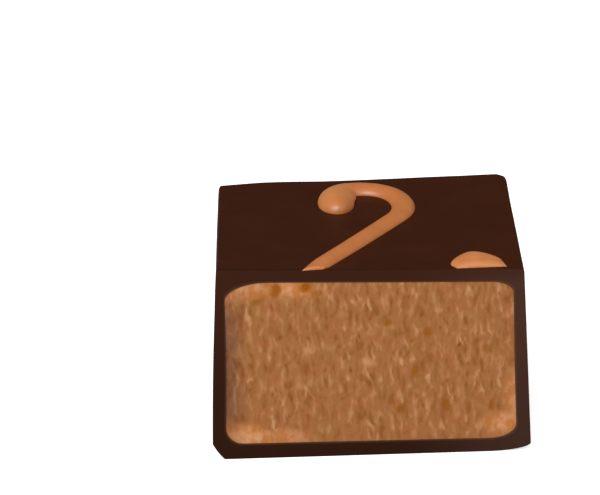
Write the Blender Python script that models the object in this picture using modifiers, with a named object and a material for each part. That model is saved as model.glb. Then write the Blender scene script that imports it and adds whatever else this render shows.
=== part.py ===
"""A piped praline, cut through with a knife.

A dark chocolate shell with a flat foot surrounds a block of nut filling, which the slice lays bare.
A piped hook and the rounded start of a second piped swirl lie on top, cut by the same slice.
Metres. +X runs along the slice, +Y from the slice to the uncut end, +Z up. The foot stands on Z = 0.
"""

import math

import bmesh
import bpy

# The praline's block. It tapers from the foot to the top, and its left side bows out a little.
HEIGHT = 0.01556
FOOT_LENGTH = 0.02500
TOP_LENGTH = 0.02366
LEFT_BOW = 0.00010
TOP_TWIST = 0.00030  # the near left and far right corners of the top are this much higher

# The uncut end, which swells a little on the left.
END_FOOT_Y = 0.010236
END_TOP_Y = 0.009576
END_SWELL = 0.00045
END_SWELL_X = -0.0076
END_SWELL_REACH = 0.0040

# The slice runs a little askew: nearer on the left, farther on the right, and nearer at the foot.
SLICE_Y = -0.010214
SLICE_SKEW = 0.00026
SLICE_LEAN = 0.00020
WASTE = 0.0040  # the stretch beyond the slice that the knife takes off

# Rounded edges of the chocolate. The end is the uncut one.
TOP_EDGE_RADIUS = 0.00045
LEFT_END_RADIUS = 0.00070
RIGHT_END_RADIUS = 0.00070
LEFT_FOOT_RADIUS = 0.00125
RIGHT_FOOT_RADIUS = 0.00090
END_FOOT_RADIUS = 0.00080

# Thickness of the shell. Each side's is given at the foot, halfway up and at the top.
LEFT_WALL = (0.00105, 0.00102, 0.00056)
RIGHT_WALL = (0.00115, 0.00103, 0.00083)
END_WALL = (0.00105, 0.00105, 0.00085)
NO_WALL = (0.0, 0.0, 0.0)
FLOOR_THICKNESS = 0.00123
FLOOR_TILT = 0.0078  # the floor gets thicker towards the left
ROOF_THICKNESS = 0.00098

# Rounded edges of the filling, seen from the slice, and of its hidden end.
FILLING_TOP_LEFT_RADIUS = 0.00240
FILLING_TOP_RIGHT_RADIUS = 0.00120
FILLING_LOW_LEFT_RADIUS = 0.00160
FILLING_LOW_RIGHT_RADIUS = 0.00180
FILLING_END_RADIUS = 0.00090

GAP = 0.00030  # clearance between neighbouring pieces
EDGE_SEGMENTS = 4
BLOCK_CELLS = 5

# Piping is a round strand pressed flat. Its base starts GAP above the shell.
HOOK_FLATNESS = 0.38
HUMP_FLATNESS = 0.16
STATION_SPACING = 0.00045
RUN_PAST_SLICE = 0.0020
END_STEPS = 5
END_ANGLE = math.radians(84)

# The hook, from the slice: a first bend, the straight tail, three arcs and the fat round start. A run
# is its length and the angle it turns through. Half widths are at the slice and at the end of each
# run. The knife left the end a little behind the slice, on a slope of its own.
HOOK_SLICE_X = -0.00441
HOOK_HEADING = math.radians(66.2)
HOOK_RUNS = (
    (0.00194, math.radians(-8.7)),
    (0.01104, 0.0),
    (0.00432, math.radians(57.3)),
    (0.00398, math.radians(68.5)),
    (0.00217, math.radians(71.3)),
    (0.00190, math.radians(20.7)),
    (0.00184, math.radians(20.7)),
)
HOOK_HALF_WIDTHS = (0.00078, 0.00084, 0.00093, 0.00098, 0.00106, 0.00153, 0.00145, 0.00104)
HOOK_ROUND_END = 0.00104
HOOK_RECESS = 0.00015
HOOK_CUT_SLOPE = 0.145

# The hump: the round start of a second swirl, short and wide, which leaves through the slice.
HUMP_SLICE_X = 0.00877
HUMP_HEADING = math.radians(115.0)
HUMP_RUNS = ((0.00060, 0.0), (0.00082, math.radians(-13.5)), (0.00194, 0.0))
HUMP_HALF_WIDTHS = (0.00192, 0.00203, 0.00205, 0.00150)
HUMP_ROUND_END = 0.00165
HUMP_RECESS = 0.00050
HUMP_CUT_SLOPE = 0.086

# The faces of the block that meet at each rounded edge, as signs along X, Y and Z. A zero is any
# place along the edge.
BLOCK_EDGES = {
    "top_left": (-1, 0, 1),
    "top_right": (1, 0, 1),
    "top_end": (0, 1, 1),
    "low_left": (-1, 0, -1),
    "low_right": (1, 0, -1),
    "low_end": (0, 1, -1),
    "left_end": (-1, 1, 0),
    "right_end": (1, 1, 0),
}


def new_collection(name):
    """A new collection in the scene."""
    made = bpy.data.collections.new(name)
    bpy.context.scene.collection.children.link(made)
    return made


def linear(channel):
    """One colour channel, from sRGB 0-255 to linear 0-1."""
    c = channel / 255
    return c / 12.92 if c <= 0.04045 else ((c + 0.055) / 1.055) ** 2.4


def new_material(name, rgb, roughness):
    """A Principled material of one colour."""
    made = bpy.data.materials.new(name)
    made.use_nodes = True
    shader = made.node_tree.nodes["Principled BSDF"]
    shader.inputs["Base Color"].default_value = (*map(linear, rgb), 1.0)
    shader.inputs["Roughness"].default_value = roughness
    shader.inputs["Metallic"].default_value = 0.0
    return made


def place_part(mesh, material):
    """An object of the praline, named as its mesh."""
    made = bpy.data.objects.new(mesh.name, mesh)
    praline.objects.link(made)
    mesh.materials.append(material)
    mesh.shade_smooth()
    mesh.set_sharp_from_angle(angle=math.radians(40))
    return made


def place_cutter(mesh):
    """A cutter, which isn't part of the praline."""
    made = bpy.data.objects.new(mesh.name, mesh)
    cutters.objects.link(made)
    made.hide_render = True
    made.display_type = "WIRE"
    return made


def cut(target, cutter, operation="DIFFERENCE"):
    """A live Boolean on the target."""
    boolean = target.modifiers.new(cutter.name, "BOOLEAN")
    boolean.operation = operation
    boolean.object = cutter
    boolean.solver = "EXACT"


def to_mesh(bm, name):
    """A mesh from a finished bmesh."""
    mesh = bpy.data.meshes.new(name)
    bm.to_mesh(mesh)
    bm.free()
    return mesh


def blend(low, high, share):
    """The value at a share of the way from low to high."""
    return low + (high - low) * share


def top_height(x, y):
    """Height of the shell's twisted top at a point in plan."""
    return HEIGHT + TOP_TWIST * (x / (TOP_LENGTH / 2)) * (y / END_TOP_Y)


def slice_y(x, up=1.0):
    """Where the slice passes at x. It leans out a little at the foot."""
    return SLICE_Y + SLICE_SKEW * x / (FOOT_LENGTH / 2) - SLICE_LEAN * (1 - up)


def wall_at(wall, up):
    """Thickness of a wall at a height, from its foot, middle and top."""
    foot, middle, top = wall
    return blend(foot, top, up) + (middle - (foot + top) / 2) * 4 * up * (1 - up)


def block_x(across, up, left, right):
    """X of a point of the tapered block, inside walls on the left and on the right."""
    half = blend(FOOT_LENGTH, TOP_LENGTH, up) / 2
    bow = LEFT_BOW * 4 * up * (1 - up)
    return blend(-half - bow + wall_at(left, up), half - wall_at(right, up), across)


def block_end(x, up, wall):
    """Y of the uncut end, inside its wall."""
    swell = END_SWELL * math.exp(-(((x - END_SWELL_X) / END_SWELL_REACH) ** 2))
    return blend(END_FOOT_Y, END_TOP_Y, up) + swell - wall_at(wall, up)


def add_cells(bm, size):
    """Splits a centred box into cells, so that its faces can bend."""
    for axis in range(3):
        normal = [0.0, 0.0, 0.0]
        normal[axis] = 1.0
        for step in range(1, BLOCK_CELLS):
            point = [0.0, 0.0, 0.0]
            point[axis] = size[axis] * (step / BLOCK_CELLS - 0.5)
            everything = [*bm.verts, *bm.edges, *bm.faces]
            bmesh.ops.bisect_plane(bm, geom=everything, plane_co=point, plane_no=normal, dist=1e-7)


def rounded_box(size, radii):
    """A centred box of cells, each of whose long edges has its own radius."""
    bm = bmesh.new()
    bmesh.ops.create_cube(bm, size=1.0)
    bmesh.ops.scale(bm, verts=bm.verts, vec=size)
    widest = max(radii.values())
    weights = bm.edges.layers.float.new("bevel_weight_edge")
    for edge in bm.edges:
        middle = (edge.verts[0].co + edge.verts[1].co) / 2
        signs = tuple(round(2 * at / length) for at, length in zip(middle, size))
        for name, corner in BLOCK_EDGES.items():
            if signs == corner:
                edge[weights] = radii[name] / widest
    box = bpy.data.objects.new("box", to_mesh(bm, "box"))
    bpy.context.scene.collection.objects.link(box)
    bevel = box.modifiers.new("edges", "BEVEL")
    bevel.limit_method = "WEIGHT"
    bevel.width = widest
    bevel.segments = EDGE_SEGMENTS
    depsgraph = bpy.context.evaluated_depsgraph_get()
    rounded = bpy.data.meshes.new_from_object(box.evaluated_get(depsgraph))
    bpy.data.objects.remove(box)
    bm = bmesh.new()
    bm.from_mesh(rounded)
    bpy.data.meshes.remove(rounded)
    add_cells(bm, size)
    return bm


def block_mesh(name, left, right, end, floor, roof, radii):
    """The praline's block before the slice, moved in by a wall on each side."""
    front = SLICE_Y - WASTE
    size = (FOOT_LENGTH, END_FOOT_Y - front, HEIGHT)
    bm = rounded_box(size, radii)
    for vert in bm.verts:
        across, along, up = (at / length + 0.5 for at, length in zip(vert.co, size))
        x = block_x(across, up, left, right)
        y = blend(front, block_end(x, up, end), along)
        low = floor - FLOOR_TILT * x if floor else 0.0
        vert.co = (x, y, blend(low, top_height(x, y) - roof, up))
    return to_mesh(bm, name)


def shell_mesh():
    """The chocolate's outside."""
    radii = {
        "top_left": TOP_EDGE_RADIUS,
        "top_right": TOP_EDGE_RADIUS,
        "top_end": TOP_EDGE_RADIUS,
        "low_left": LEFT_FOOT_RADIUS,
        "low_right": RIGHT_FOOT_RADIUS,
        "low_end": END_FOOT_RADIUS,
        "left_end": LEFT_END_RADIUS,
        "right_end": RIGHT_END_RADIUS,
    }
    return block_mesh("shell", NO_WALL, NO_WALL, NO_WALL, 0.0, 0.0, radii)


def filling_mesh(name, clearance):
    """The filling, smaller than the shell's hollow by a clearance on every side."""
    radii = {
        "top_left": FILLING_TOP_LEFT_RADIUS,
        "top_right": FILLING_TOP_RIGHT_RADIUS,
        "top_end": FILLING_END_RADIUS,
        "low_left": FILLING_LOW_LEFT_RADIUS,
        "low_right": FILLING_LOW_RIGHT_RADIUS,
        "low_end": FILLING_END_RADIUS,
        "left_end": FILLING_END_RADIUS,
        "right_end": FILLING_END_RADIUS,
    }
    left, right, end = (
        tuple(thickness + clearance for thickness in wall)
        for wall in (LEFT_WALL, RIGHT_WALL, END_WALL)
    )
    floor = FLOOR_THICKNESS + clearance
    roof = ROOF_THICKNESS + clearance
    inner_radii = {edge: radius - clearance for edge, radius in radii.items()}
    return block_mesh(name, left, right, end, floor, roof, inner_radii)


def knife_mesh():
    """The waste side of the slice: a slab whose far face is the skewed slice."""
    bm = bmesh.new()
    bmesh.ops.create_cube(bm, size=2.0)
    for vert in bm.verts:
        x = vert.co.x * FOOT_LENGTH
        up = 2.0 if vert.co.z > 0 else -1.0
        y = slice_y(x, up) if vert.co.y > 0 else SLICE_Y - 2 * WASTE
        vert.co = (x, y, up * HEIGHT)
    return to_mesh(bm, "knife")


def headroom_mesh(name, slice_x, recess, slope):
    """The space above the shell that a strand may fill, behind the end that the knife left it."""
    bm = bmesh.new()
    bmesh.ops.create_cube(bm, size=1.0)
    add_cells(bm, (1.0, 1.0, 1.0))
    for vert in bm.verts:
        across, along, share = (at + 0.5 for at in vert.co)
        x = blend(-FOOT_LENGTH, FOOT_LENGTH, across) / 2
        y = blend(slice_y(x) + recess + slope * (x - slice_x), END_FOOT_Y, along)
        vert.co = (x, y, blend(top_height(x, y) + GAP, 2 * HEIGHT, share))
    return to_mesh(bm, name)


def point_along(start, heading, runs, distance):
    """The point at a distance along runs that start at a point in a heading."""
    x, y = start
    for length, turn in runs:
        part = min(distance, length)
        half_turn = turn * part / length / 2
        chord = part * (math.sin(half_turn) / half_turn if half_turn else 1.0)
        x += chord * math.cos(heading + half_turn)
        y += chord * math.sin(heading + half_turn)
        heading += 2 * half_turn
        distance -= part
    return x, y


def station_slopes(stations, values):
    """Slopes, at each station, of a smooth curve that never overshoots a station's value."""
    steps = [
        (values[index + 1] - values[index]) / (stations[index + 1] - stations[index])
        for index in range(len(values) - 1)
    ]
    slopes = [0.0]
    for before, after in zip(steps, steps[1:]):
        slopes.append(2 * before * after / (before + after) if before * after > 0 else 0.0)
    return [*slopes, 0.0]


def smooth_value(stations, values, slopes, at):
    """The value at a distance, on a smooth curve through each station's value."""
    at = min(max(at, stations[0]), stations[-1])
    index = max(i for i in range(len(stations) - 1) if at >= stations[i])
    gap = stations[index + 1] - stations[index]
    share = (at - stations[index]) / gap
    bend = (1 - share) * slopes[index] - share * slopes[index + 1]
    level = blend(values[index], values[index + 1], share * share * (3 - 2 * share))
    return level + gap * share * (1 - share) * bend


def strand_mesh(name, slice_x, heading, runs, half_widths, round_end, flatness):
    """A strand from past the slice to its round end, along runs that start at the slice."""
    start = (
        slice_x - RUN_PAST_SLICE * math.cos(heading),
        slice_y(slice_x) - RUN_PAST_SLICE * math.sin(heading),
    )
    stations = [0.0]
    for length, _ in runs:
        stations.append(stations[-1] + length)
    slopes = station_slopes(stations, half_widths)
    runs = ((RUN_PAST_SLICE, 0.0), *runs)
    even = sum(length for length, _ in runs) - round_end
    steps = round(even / STATION_SPACING)
    rings = [(even * step / steps, 1.0) for step in range(steps)]
    for step in range(END_STEPS + 1):
        angle = END_ANGLE * step / END_STEPS
        rings.append((even + round_end * math.sin(angle), math.cos(angle)))
    curve = bpy.data.curves.new(name, "CURVE")
    curve.dimensions = "3D"
    curve.bevel_depth = half_widths[0]
    curve.bevel_resolution = 3
    curve.use_fill_caps = True
    spline = curve.splines.new("POLY")
    spline.points.add(len(rings) - 1)
    for point, (distance, share) in zip(spline.points, rings):
        x, y = point_along(start, heading, runs, distance)
        half_width = smooth_value(stations, half_widths, slopes, distance - RUN_PAST_SLICE) * share
        point.co = (x, y, 0.0, 1.0)
        point.radius = half_width / curve.bevel_depth
    guide = bpy.data.objects.new(name, curve)
    bpy.context.scene.collection.objects.link(guide)
    depsgraph = bpy.context.evaluated_depsgraph_get()
    tube = bpy.data.meshes.new_from_object(guide.evaluated_get(depsgraph))
    bpy.data.objects.remove(guide)
    bpy.data.curves.remove(curve)
    bm = bmesh.new()
    bm.from_mesh(tube)
    bpy.data.meshes.remove(tube)
    bmesh.ops.remove_doubles(bm, verts=bm.verts, dist=1e-6)
    for vert in bm.verts:
        vert.co.z = top_height(vert.co.x, vert.co.y) + GAP + vert.co.z * flatness
    return to_mesh(bm, name)


for old in list(bpy.data.objects):
    bpy.data.objects.remove(old)

praline = new_collection("praline")
cutters = new_collection("cutters")
cutters.hide_render = True

dark_chocolate = new_material("dark_chocolate", (60, 32, 20), 0.42)
praline_filling = new_material("praline_filling", (162, 106, 64), 0.75)
piped_chocolate = new_material("piped_chocolate", (196, 125, 75), 0.45)

knife = place_cutter(knife_mesh())
hollow = place_cutter(filling_mesh("hollow", 0.0))
hook_room = place_cutter(headroom_mesh("hook_room", HOOK_SLICE_X, HOOK_RECESS, HOOK_CUT_SLOPE))
hump_room = place_cutter(headroom_mesh("hump_room", HUMP_SLICE_X, HUMP_RECESS, HUMP_CUT_SLOPE))

shell = place_part(shell_mesh(), dark_chocolate)
cut(shell, hollow)
cut(shell, knife)

filling = place_part(filling_mesh("filling", GAP), praline_filling)
cut(filling, knife)

hook_strand = strand_mesh(
    "piping_hook",
    HOOK_SLICE_X,
    HOOK_HEADING,
    HOOK_RUNS,
    HOOK_HALF_WIDTHS,
    HOOK_ROUND_END,
    HOOK_FLATNESS,
)
hook = place_part(hook_strand, piped_chocolate)
cut(hook, hook_room, "INTERSECT")

hump_strand = strand_mesh(
    "piping_hump",
    HUMP_SLICE_X,
    HUMP_HEADING,
    HUMP_RUNS,
    HUMP_HALF_WIDTHS,
    HUMP_ROUND_END,
    HUMP_FLATNESS,
)
hump = place_part(hump_strand, piped_chocolate)
cut(hump, hump_room, "INTERSECT")
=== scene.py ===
import math

import bmesh
import bpy
import numpy as np
from mathutils import Matrix, Vector


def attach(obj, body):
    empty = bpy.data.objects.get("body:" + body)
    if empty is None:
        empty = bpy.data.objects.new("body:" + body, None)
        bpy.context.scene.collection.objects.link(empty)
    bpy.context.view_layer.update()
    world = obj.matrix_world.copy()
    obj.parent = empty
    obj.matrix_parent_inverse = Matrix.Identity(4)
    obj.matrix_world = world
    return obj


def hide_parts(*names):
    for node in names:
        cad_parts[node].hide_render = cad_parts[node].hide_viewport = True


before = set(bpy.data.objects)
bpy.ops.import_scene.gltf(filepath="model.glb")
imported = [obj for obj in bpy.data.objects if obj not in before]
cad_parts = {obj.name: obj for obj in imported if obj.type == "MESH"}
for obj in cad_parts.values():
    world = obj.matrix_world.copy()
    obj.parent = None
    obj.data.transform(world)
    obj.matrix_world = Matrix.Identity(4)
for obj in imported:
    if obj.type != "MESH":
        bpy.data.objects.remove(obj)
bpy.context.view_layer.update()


# --- The nut filling -----------------------------------------------------------------------------
# A block of nut paste: finely ground roasted nuts and sugar, bound with cocoa butter. It is cast as
# a slab, cut into blocks and coated later. The knife that halves the praline drags the paste, and
# leaves the cut face torn into short upright streaks.

# The whole praline: its length along the cut at the foot and at the top, its height without piping,
# how far its left side bows out, and how far its top twists.
FOOT_LENGTH = 0.02500
TOP_LENGTH = 0.02366
HEIGHT = 0.01556
LEFT_BOW = 0.00010
TOP_TWIST = 0.00030

# The uncut end: its place at the foot and at the top, its swelling and its worn right corner.
END_FOOT_Y = 0.010236
END_TOP_Y = 0.009576
END_SWELL = 0.00045
END_SWELL_X = -0.0076
END_SWELL_REACH = 0.0040
END_CORNER = 0.00060
END_CORNER_REACH = 0.00085

# The slice: its place, how far it is askew at each side, and how far it leans out at the foot.
SLICE_Y = -0.010214
SLICE_SKEW = 0.00026
SLICE_LEAN = 0.00020

# How thick the chocolate round the filling is. A wall has values for its foot, middle and top.
LEFT_WALL = (0.00105, 0.00102, 0.00056)
RIGHT_WALL = (0.00115, 0.00103, 0.00083)
END_WALL = (0.00105, 0.00105, 0.00085)
NO_WALL = (0.0, 0.0, 0.0)
FLOOR_THICKNESS = 0.00123
FLOOR_TILT = 0.0078  # the floor gets thicker towards the left
ROOF_THICKNESS = 0.00098

# The rounded corners of the filling as it shows at the cut: how far along, and how far up.
FILLING_CORNERS = {
    "low_right": (0.00235, 0.00150),
    "top_right": (0.00180, 0.00112),
    "top_left": (0.00400, 0.00180),
    "low_left": (0.00155, 0.00165),
}

FACE_COLUMNS = 440
FACE_ROWS = 200
UNDER_RIM = 0.00012  # the paste runs on this far under the rim of the chocolate
RIM_STEP = 0.00005  # and lies this far behind it
TEAR_FADE = 0.00025  # the torn relief fades out this close to the rim
BACK_DRAWN_IN = 0.03  # the part by which the paste's hidden back edge is drawn in

# What makes up the torn relief: the parts that the furrows and the flakes have in it, and how much
# more the big flakes are raised and pulled out than the scattered ones.
FURROW_PART = 0.56
FLAKE_PART = 0.24
BIG_RAISED = 1.4
BIG_PULLED = 1.2
BIG_LEANS = (0.32, 0.12, 0.24)  # the big flakes have these leans in turn
PIT_SPACING = (0.0011, 0.0016)

# Where the big flakes are: centre, size in parts of the flake size, and strength.
BIG_FLAKES = (
    (0.0056, 0.0108, 0.75, 0.95),
    (0.0021, 0.0082, 0.90, 1.00),
    (-0.0001, 0.0090, 0.90, 0.80),
    (-0.0004, 0.0068, 0.90, 0.85),
    (0.0066, 0.0077, 0.80, 0.85),
    (0.0103, 0.0077, 0.60, 0.85),
    (0.0085, 0.0068, 0.75, 0.75),
    (0.0044, 0.0061, 0.80, 0.65),
    (-0.0019, 0.0071, 0.75, 0.65),
    (0.0075, 0.0137, 0.70, 0.90),
    (0.0034, 0.0136, 0.75, 0.70),
    (0.0068, 0.0095, 0.80, 0.85),
    (-0.0015, 0.0135, 0.90, 0.80),
    (-0.0013, 0.0113, 0.75, 0.70),
    (-0.0072, 0.0051, 0.75, 0.75),
    (-0.0049, 0.0055, 0.80, 0.75),
    (-0.0023, 0.0056, 0.75, 0.75),
    (-0.0002, 0.0025, 0.90, 0.85),
    (0.0055, 0.0022, 0.80, 0.75),
)

# Where the paste is oilier: centre, half width, half height and strength.
OILY_PATCHES = (
    (-0.0095, 0.0142, 0.00252, 0.00140, 0.55),
    (-0.0062, 0.0142, 0.00364, 0.00140, 0.80),
    (-0.0095, 0.0019, 0.00210, 0.00154, 0.80),
    (-0.0072, 0.0016, 0.00392, 0.00126, 0.60),
    (0.0102, 0.0024, 0.00238, 0.00168, 0.75),
    (0.0112, 0.0048, 0.00140, 0.00336, 0.60),
)

# Bits of nut skin that show through: centre, half width, half height and strength.
SKIN_SPECKS = (
    (-0.0073, 0.0141, 0.000638, 0.001100, 0.95),
    (-0.0050, 0.0144, 0.000605, 0.000825, 0.95),
    (-0.0089, 0.0131, 0.000605, 0.000385, 0.70),
    (-0.0041, 0.0138, 0.000440, 0.000385, 0.50),
    (0.0022, 0.0039, 0.000550, 0.000550, 0.80),
    (0.0057, 0.0041, 0.000550, 0.000605, 0.80),
    (0.0093, 0.0041, 0.000440, 0.000660, 0.80),
    (0.0035, 0.0071, 0.000495, 0.000880, 0.80),
    (0.0012, 0.0111, 0.000550, 0.000495, 0.80),
    (0.0043, 0.0103, 0.000550, 0.000605, 0.80),
    (0.0034, 0.0096, 0.000385, 0.000495, 0.50),
    (0.0105, 0.0101, 0.000385, 0.000550, 0.50),
    (0.0090, 0.0087, 0.000495, 0.000495, 0.60),
    (-0.0064, 0.0063, 0.000440, 0.000550, 0.50),
    (-0.0022, 0.0060, 0.000440, 0.000495, 0.50),
    (-0.0007, 0.0066, 0.000385, 0.000550, 0.50),
)


def blend(low, high, share):
    """The value at a share of the way from low to high."""
    return low + (high - low) * share


def eased(share):
    """A share that starts and stops gently."""
    share = np.clip(share, 0.0, 1.0)
    return share * share * (3 - 2 * share)


def top_height(x, y):
    """Height of the praline's slightly twisted top."""
    return HEIGHT + TOP_TWIST * (x / (TOP_LENGTH / 2)) * (y / END_TOP_Y)


def slice_y(x, up=1.0):
    """Where the slice passes at x. It leans out a little at the foot."""
    return SLICE_Y + SLICE_SKEW * x / (FOOT_LENGTH / 2) - SLICE_LEAN * (1 - up)


def wall_at(wall, up):
    """Thickness of a wall at a height, from its foot, middle and top."""
    foot, middle, top = wall
    return blend(foot, top, up) + (middle - (foot + top) / 2) * 4 * up * (1 - up)


def block_x(across, up, left=NO_WALL, right=NO_WALL):
    """X of a point of the tapered block, inside walls on the left and on the right."""
    half = blend(FOOT_LENGTH, TOP_LENGTH, up) / 2
    bow = LEFT_BOW * 4 * up * (1 - up)
    return blend(-half - bow + wall_at(left, up), half - wall_at(right, up), across)


def block_end(x, up, wall=NO_WALL):
    """Y of the uncut end, inside its wall. It swells on the left and has a worn right corner."""
    swell = END_SWELL * np.exp(-(((x - END_SWELL_X) / END_SWELL_REACH) ** 2))
    inset = blend(FOOT_LENGTH, TOP_LENGTH, up) / 2 - x
    worn = END_CORNER * eased(1 - inset / END_CORNER_REACH)
    return blend(END_FOOT_Y, END_TOP_Y, up) + swell - worn - wall_at(wall, up)


def block_z(x, y, up, floor=0.0, roof=0.0):
    """Z of a point of the block, between a floor and a roof."""
    tilt = FLOOR_TILT * x if floor else 0.0
    return blend(floor - tilt, top_height(x, y) - roof, up)


def srgb(red, green, blue):
    """A colour for a socket, from sRGB values up to 255."""
    channels = (channel / 255 for channel in (red, green, blue))
    return (*(c / 12.92 if c <= 0.04045 else ((c + 0.055) / 1.055) ** 2.4 for c in channels), 1.0)


def connect(tree, node, inputs):
    """Gives a node's inputs values or the outputs of other nodes."""
    for socket, value in inputs.items():
        if isinstance(value, bpy.types.NodeSocket):
            tree.links.new(value, node.inputs[socket])
        else:
            node.inputs[socket].default_value = value


def add(tree, kind, inputs=None, **settings):
    """A node in a tree, with its settings and inputs."""
    node = tree.nodes.new(kind)
    for setting, value in settings.items():
        setattr(node, setting, value)
    connect(tree, node, inputs or {})
    return node


def calc(tree, operation, *terms):
    """One sum on numbers or on the outputs of other nodes."""
    return add(tree, "ShaderNodeMath", dict(enumerate(terms)), operation=operation).outputs[0]


def ramp(tree, value, start, stop, low=0.0, high=1.0):
    """Low before start, high after stop, and a gentle change between them."""
    inputs = {0: value, 1: start, 2: stop, 3: low, 4: high}
    return add(tree, "ShaderNodeMapRange", inputs, interpolation_type="SMOOTHSTEP").outputs[0]


def noise(tree, place, seed, scale=1.0, detail=2.0):
    """Soft noise from 0 to 1."""
    inputs = {"Vector": place, "W": seed, "Scale": scale, "Detail": detail}
    return add(tree, "ShaderNodeTexNoise", inputs, noise_dimensions="4D").outputs[0]


def named_value(tree, label):
    """A value that the mesh carries at each point."""
    return add(tree, "GeometryNodeInputNamedAttribute", {0: label}, data_type="FLOAT").outputs[0]


def name_inputs(tree, kind, *labels):
    """Gives a tree named inputs of one kind."""
    for label in labels:
        tree.interface.new_socket(label, in_out="INPUT", socket_type="NodeSocket" + kind)


def new_recipe(name, *sizes, counts=()):
    """A Geometry Nodes tree with named inputs for sizes and counts: the tree and its inputs."""
    tree = bpy.data.node_groups.new(name, "GeometryNodeTree")
    name_inputs(tree, "Geometry", "Geometry")
    name_inputs(tree, "Float", *sizes)
    name_inputs(tree, "Int", *counts)
    name_inputs(tree, "Material", "Material")
    tree.interface.new_socket("Geometry", in_out="OUTPUT", socket_type="NodeSocketGeometry")
    return tree, add(tree, "NodeGroupInput").outputs


def finish_recipe(tree, shape, material):
    """Ends a tree: instances become real mesh, and take the material."""
    real = add(tree, "GeometryNodeRealizeInstances", {0: shape}).outputs[0]
    painted = add(tree, "GeometryNodeSetMaterial", {"Geometry": real, "Material": material})
    add(tree, "NodeGroupOutput", {0: painted.outputs[0]})


def put(name, data):
    """A new object in the scene."""
    made = bpy.data.objects.new(name, data)
    bpy.context.scene.collection.objects.link(made)
    return made


def make_from(recipe, start, name, **values):
    """A plain mesh object, made by a tree from a starting mesh."""
    worker = put(name, start)
    modifier = worker.modifiers.new(recipe.name, "NODES")
    modifier.node_group = recipe
    for item in recipe.interface.items_tree:
        key = item.name.lower().replace(" ", "_")
        if item.in_out == "INPUT" and key in values:
            modifier[item.identifier] = values[key]
    depsgraph = bpy.context.evaluated_depsgraph_get()
    mesh = bpy.data.meshes.new_from_object(worker.evaluated_get(depsgraph))
    bpy.data.objects.remove(worker)
    mesh.name = name
    return put(name, mesh)


def carry(mesh, **attributes):
    """Gives a mesh values at each of its points."""
    for label, values in attributes.items():
        mesh.attributes.new(label, "FLOAT", "POINT").data.foreach_set("value", values)


def closed_mesh(points, faces, name, **attributes):
    """A smooth closed mesh that faces outwards, with values at each of its points."""
    mesh = bpy.data.meshes.new(name)
    mesh.from_pydata(points, [], faces)
    carry(mesh, **attributes)
    bm = bmesh.new()
    bm.from_mesh(mesh)
    bmesh.ops.recalc_face_normals(bm, faces=bm.faces)
    bm.to_mesh(mesh)
    bm.free()
    mesh.shade_smooth()
    return mesh


def strips(first, second, closed):
    """The faces between two rows of point numbers."""
    count = len(first)
    pairs = [(i, (i + 1) % count) for i in range(count if closed else count - 1)]
    return [(first[i], first[j], second[j], second[i]) for i, j in pairs]


def face_grid():
    """The cut face in rows, from 0 to 1 across and up, with the rounded corners in its ends."""
    margin = UNDER_RIM
    low, high = -margin, HEIGHT + margin
    turn = np.linspace(0.0, math.pi, FACE_ROWS + 1)
    even = np.linspace(0.0, 1.0, FACE_ROWS + 1)
    closer_at_ends = (1 - np.cos(turn)) / 2
    up = blend(low, high, blend(even, closer_at_ends, 0.35))
    ends = []
    for side in ("left", "right"):
        inset = np.zeros_like(up)
        for corner, away in (("low", up - low), ("top", high - up)):
            along, tall = FILLING_CORNERS[f"{corner}_{side}"]
            along, tall = along + margin, tall + margin
            drop = np.clip(1 - away / tall, 0.0, 1.0)
            inset = np.maximum(inset, along * (1 - np.sqrt(1 - drop * drop)))
        ends.append(inset - margin)
    across = np.linspace(0.0, 1.0, FACE_COLUMNS + 1)
    plan = blend(ends[0][:, None], (FOOT_LENGTH - ends[1])[:, None], across[None, :])
    return plan / FOOT_LENGTH, np.broadcast_to((up / HEIGHT)[:, None], plan.shape)


def filling_mesh():
    """The block of paste: its cut face, then the sides that run back to the uncut end."""
    across, up = face_grid()
    x = block_x(across, up, LEFT_WALL, RIGHT_WALL)
    cut = slice_y(x, up)
    z = block_z(x, cut, up, FLOOR_THICKNESS, ROOF_THICKNESS)
    numbers = np.arange(x.size).reshape(x.shape)
    edge = np.concatenate(
        [numbers[0, :-1], numbers[:-1, -1], numbers[-1, :0:-1], numbers[:0:-1, 0]]
    )
    outline = np.stack([x.ravel()[edge], z.ravel()[edge]], 1)
    nearest = np.full(x.size, 1.0)
    flat = np.stack([x.ravel(), z.ravel()], 1)
    for index in range(0, len(outline), 4):  # every fourth point of the outline is close enough
        nearest = np.minimum(nearest, np.hypot(*(flat - outline[index]).T))
    openness = eased((nearest - UNDER_RIM) / TEAR_FADE)
    face = np.stack([x.ravel(), (cut + RIM_STEP).ravel(), z.ravel()], 1)
    rings = [face]
    fades = [openness]
    faces = []
    for row in range(FACE_ROWS):
        faces += strips(numbers[row], numbers[row + 1], closed=False)
    last = list(edge)
    edge_x, edge_up = x.ravel()[edge], up.ravel()[edge]
    back = block_end(edge_x, edge_up, END_WALL)
    start = x.size
    for share in (0.02, 0.2, 0.5, 0.8, 0.96, 1.0):
        y = blend(slice_y(edge_x, edge_up) + RIM_STEP, back, share)
        pull = BACK_DRAWN_IN * max(share - 0.9, 0.0) / 0.1
        ring_x = edge_x * (1 - pull)
        ring_z = block_z(ring_x, y, edge_up, FLOOR_THICKNESS, ROOF_THICKNESS)
        ring_z = blend(ring_z, HEIGHT / 2, pull)
        rings.append(np.stack([ring_x, y, ring_z], 1))
        fades.append(np.zeros(len(edge)))
        ring = list(range(start, start + len(edge)))
        faces += strips(last, ring, closed=True)
        last = ring
        start += len(edge)
    faces.append(tuple(last))
    points = np.concatenate(rings)
    return closed_mesh(points, faces, "filling", open_face=np.concatenate(fades))


def product(tree, *factors):
    """Numbers or outputs, multiplied."""
    result = factors[0]
    for factor in factors[1:]:
        result = calc(tree, "MULTIPLY", result, factor)
    return result


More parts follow.
